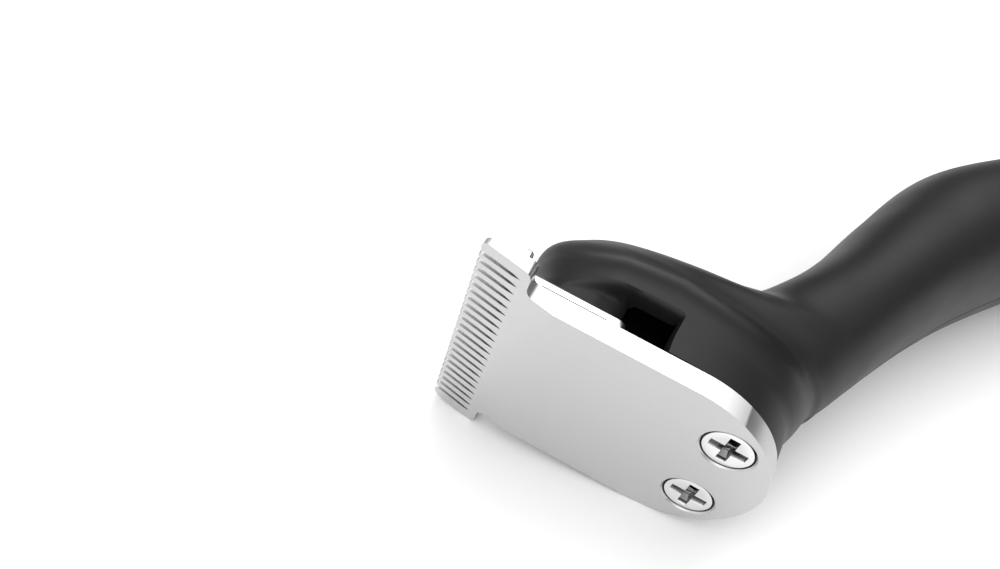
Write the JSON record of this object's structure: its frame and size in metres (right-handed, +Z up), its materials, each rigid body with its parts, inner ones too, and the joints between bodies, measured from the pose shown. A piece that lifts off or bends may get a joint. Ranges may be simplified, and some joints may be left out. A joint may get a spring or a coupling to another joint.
{
  "type": "hair clipper",
  "caption": "Cordless hair clipper with a wide T-shaped steel blade on an offset head and an arched black handle, lying on its side.",
  "frame": {"origin": "centre of the bounding box's underside: the clipper lies on its side on Z = 0, on a corner of the T blade and two points of the housing's left side", "axes": "+X from the blade towards the tail of the handle, +Y towards the concave front of the handle and the hood, +Z up, away from the surface it lies on"},
  "size_m": [0.17, 0.052, 0.0406],
  "materials": {
    "plate_steel": "satin ground flat, slots and teeth polished by grinding",
    "cutter_steel": "bright ground",
    "screw_steel": "bright nickel plated, cross recess",
    "spring_steel": "rolled spring strip",
    "follower_black": "moulded acetal",
    "mount_black": "moulded glass-filled plastic",
    "housing_black": "soft-touch black, fine even grain",
    "button_black": "soft-touch black, slightly glossier than the housing",
    "cap_black": "moulded black, satin",
    "screw_zinc": "black zinc screws",
    "motor_zinc": "drawn and zinc plated",
    "motor_plastic": "moulded",
    "bush_brass": "turned bush",
    "shaft_steel": "ground",
    "cam_brass": "turned crank",
    "cradle_rubber": "soft rubber",
    "cell_sleeve": null,
    "tab_nickel": "nickel strip",
    "board_green": "solder mask",
    "switch_metal": "tin-plated frame",
    "chip_black": "moulded package",
    "lead_red": "PVC sleeve",
    "lead_black": "PVC sleeve",
    "light_pipe": "frosted light pipe",
    "socket_steel": "plated socket shell"
  },
  "bodies": {
    "root": {"fixed_blade": "plate_steel", "tension_spring": "spring_steel", "blade_mount": "mount_black", "blade_screw_right": "screw_steel", "blade_screw_left": "screw_steel", "housing_shell_right": "housing_black", "housing_shell_left": "housing_black", "motor_lead_red": "lead_red", "motor_lead_black": "lead_black", "housing_screw_1": "screw_zinc", "housing_screw_2": "screw_zinc", "housing_screw_3": "screw_zinc", "motor_can": "motor_zinc", "motor_end_cap": "motor_plastic", "motor_bush": "bush_brass", "motor_cradle": "cradle_rubber", "battery_cell": "cell_sleeve", "battery_tab_plus": "tab_nickel", "battery_tab_minus": "tab_nickel", "circuit_board": "board_green", "tact_switch": "switch_metal", "motor_driver_chip": "chip_black", "charge_light": "light_pipe", "end_cap": "cap_black", "charge_socket": "socket_steel"},
    "cutter": {"moving_blade": "cutter_steel", "cam_follower": "follower_black"},
    "rotor": {"motor_shaft": "shaft_steel", "eccentric_cam": "cam_brass"},
    "button": {"power_button": "button_black"}
  },
  "joints": [
    {"name": "blade_stroke", "type": "slide", "parent": "root", "child": "cutter", "axis": [0.0354, -0.1663, 0.9854], "range_m": [-0.001, 0.001]},
    {"name": "motor_spin", "type": "hinge", "parent": "root", "child": "rotor", "pos_m": [-0.04856, -0.0083, 0.0165], "axis": [0.9557, 0.2939, 0.0153], "continuous": true},
    {"name": "button_press", "type": "slide", "parent": "root", "child": "button", "axis": [-0.0105, -0.9861, -0.166], "range_m": [0, 0.0006], "stiffness_N_per_m": 2500, "springref_m": -0.0001}
  ]
}
